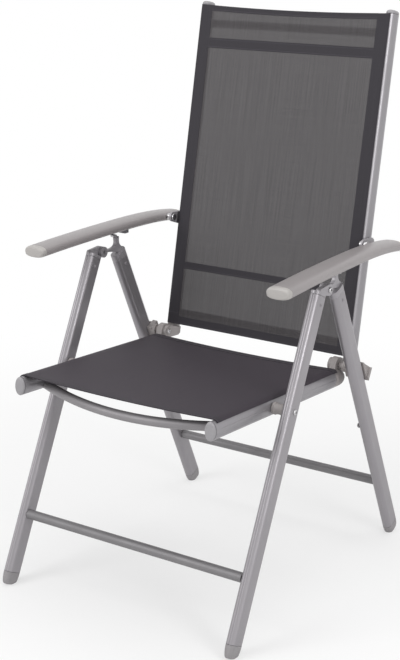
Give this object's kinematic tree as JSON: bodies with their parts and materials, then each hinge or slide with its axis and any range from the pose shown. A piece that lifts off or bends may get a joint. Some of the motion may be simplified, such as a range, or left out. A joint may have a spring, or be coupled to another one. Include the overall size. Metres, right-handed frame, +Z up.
{
  "type": "folding armchair",
  "caption": "Folding high-back garden armchair with scissor legs, oval silver tube frame, stretched dark mesh seat and back, and notched armrests that set the recline.",
  "frame": {"origin": "on the floor under the middle of the chair's box", "axes": "+Z up, -Y towards the sitter's front, +X to the sitter's left, which is the near side in the picture"},
  "size_m": [0.587, 0.6674, 1.0771],
  "materials": {
    "leg_tube": "satin silver powder coat on drawn tube",
    "frame_tube": "satin silver powder coat on drawn oval tube",
    "joint_casting": "silver painted die casting",
    "fastener": "zinc plated steel",
    "foot_plastic": "mid grey moulded plastic",
    "grey_plastic": "light grey moulded plastic",
    "armrest_plastic": "light grey satin moulded plastic",
    "seat_mesh": "dense charcoal coated mesh with a purple cast",
    "back_mesh": "charcoal coated mesh, slightly see-through, darker hems"
  },
  "bodies": {
    "front_frame": {"front_leg_left": "leg_tube", "front_leg_right": "leg_tube", "front_foot_left": "foot_plastic", "front_foot_right": "foot_plastic", "front_joint_left": "joint_casting", "front_joint_right": "joint_casting", "apex_bolt_left": "fastener", "apex_bolt_right": "fastener", "seat_spacer_left": "grey_plastic", "seat_spacer_right": "grey_plastic", "seat_pivot_bolt_left": "fastener", "seat_pivot_bolt_right": "fastener", "front_crossbar": "leg_tube"},
    "rear_frame": {"rear_leg_left": "leg_tube", "rear_leg_right": "leg_tube", "rear_foot_left": "foot_plastic", "rear_foot_right": "foot_plastic", "rear_joint_left": "joint_casting", "rear_joint_right": "joint_casting", "notch_pin_left": "fastener", "notch_pin_right": "fastener", "leg_stud_left": "foot_plastic", "leg_stud_right": "foot_plastic", "rear_crossbar": "leg_tube"},
    "seat_frame": {"seat_rail_left": "frame_tube", "seat_rail_right": "frame_tube", "seat_rail_cap_left": "grey_plastic", "seat_rail_cap_right": "grey_plastic", "hinge_ear_left": "grey_plastic", "hinge_ear_right": "grey_plastic", "seat_front_tube": "frame_tube", "seat_rear_tube": "frame_tube", "seat_fabric": "seat_mesh"},
    "leg_saddles": {"leg_saddle_left": "grey_plastic", "leg_saddle_right": "grey_plastic"},
    "hinge_bolts": {"hinge_bolt_left": "fastener", "hinge_bolt_right": "fastener"},
    "back_frame": {"back_rail_left": "frame_tube", "back_rail_right": "frame_tube", "back_rail_cap_left": "grey_plastic", "back_rail_cap_right": "grey_plastic", "hinge_block_left": "grey_plastic", "hinge_block_right": "grey_plastic", "arm_bracket_left": "joint_casting", "arm_bracket_right": "joint_casting", "back_top_tube": "frame_tube", "back_lower_tube": "frame_tube", "back_fabric": "back_mesh"},
    "arm_bolt_left": {"arm_bolt_left": "fastener"},
    "arm_left": {"armrest_left": "armrest_plastic", "armrest_front_cap_left": "armrest_plastic", "armrest_rear_cap_left": "armrest_plastic", "notch_rail_left": "foot_plastic"},
    "arm_bolt_right": {"arm_bolt_right": "fastener"},
    "arm_right": {"armrest_right": "armrest_plastic", "armrest_front_cap_right": "armrest_plastic", "armrest_rear_cap_right": "armrest_plastic", "notch_rail_right": "foot_plastic"}
  },
  "joints": [
    {"name": "fold", "type": "hinge", "parent": "front_frame", "child": "rear_frame", "pos_m": [0, -0.00723, 0.6], "axis": [-1, 0, 0], "range_deg": [0, 50]},
    {"name": "seat_pivot", "type": "hinge", "parent": "front_frame", "child": "seat_frame", "pos_m": [0, -0.12738, 0.401], "axis": [-1, 0, 0], "range_deg": [0, 100.3]},
    {"name": "saddle_pivot", "type": "hinge", "parent": "seat_frame", "child": "leg_saddles", "pos_m": [0, 0.13577, 0.407], "axis": [1, 0, 0], "range_deg": [0, 50.3]},
    {"name": "hinge_turn", "type": "hinge", "parent": "seat_frame", "child": "hinge_bolts", "pos_m": [0, 0.13577, 0.407], "axis": [1, 0, 0], "range_deg": [0, 76.3]},
    {"name": "recline", "type": "hinge", "parent": "hinge_bolts", "child": "back_frame", "pos_m": [0, 0.13577, 0.407], "axis": [-1, 0, 0], "range_deg": [0, 35]},
    {"name": "arm_fold_left", "type": "hinge", "parent": "back_frame", "child": "arm_bolt_left", "pos_m": [0, 0.19777, 0.638], "axis": [-1, 0, 0], "range_deg": [0, 121.1]},
    {"name": "arm_fold_right", "type": "hinge", "parent": "back_frame", "child": "arm_bolt_right", "pos_m": [0, 0.19777, 0.638], "axis": [-1, 0, 0], "range_deg": [0, 121.1]},
    {"name": "arm_level_left", "type": "hinge", "parent": "arm_bolt_left", "child": "arm_left", "pos_m": [0, 0.19777, 0.638], "axis": [1, 0, 0], "range_deg": [0, 20.2]},
    {"name": "arm_level_right", "type": "hinge", "parent": "arm_bolt_right", "child": "arm_right", "pos_m": [0, 0.19777, 0.638], "axis": [1, 0, 0], "range_deg": [0, 20.2]}
  ],
  "couplings": [
    {"joint": "seat_pivot", "follows": "fold", "ratio": 2.005},
    {"joint": "saddle_pivot", "follows": "fold", "ratio": 1.005},
    {"joint": "hinge_turn", "follows": "fold", "ratio": 1.525},
    {"joint": "arm_fold_left", "follows": "fold", "ratio": 2.42},
    {"joint": "arm_fold_right", "follows": "fold", "ratio": 2.42},
    {"joint": "arm_level_left", "follows": "recline", "ratio": 0.575},
    {"joint": "arm_level_right", "follows": "recline", "ratio": 0.575}
  ]
}
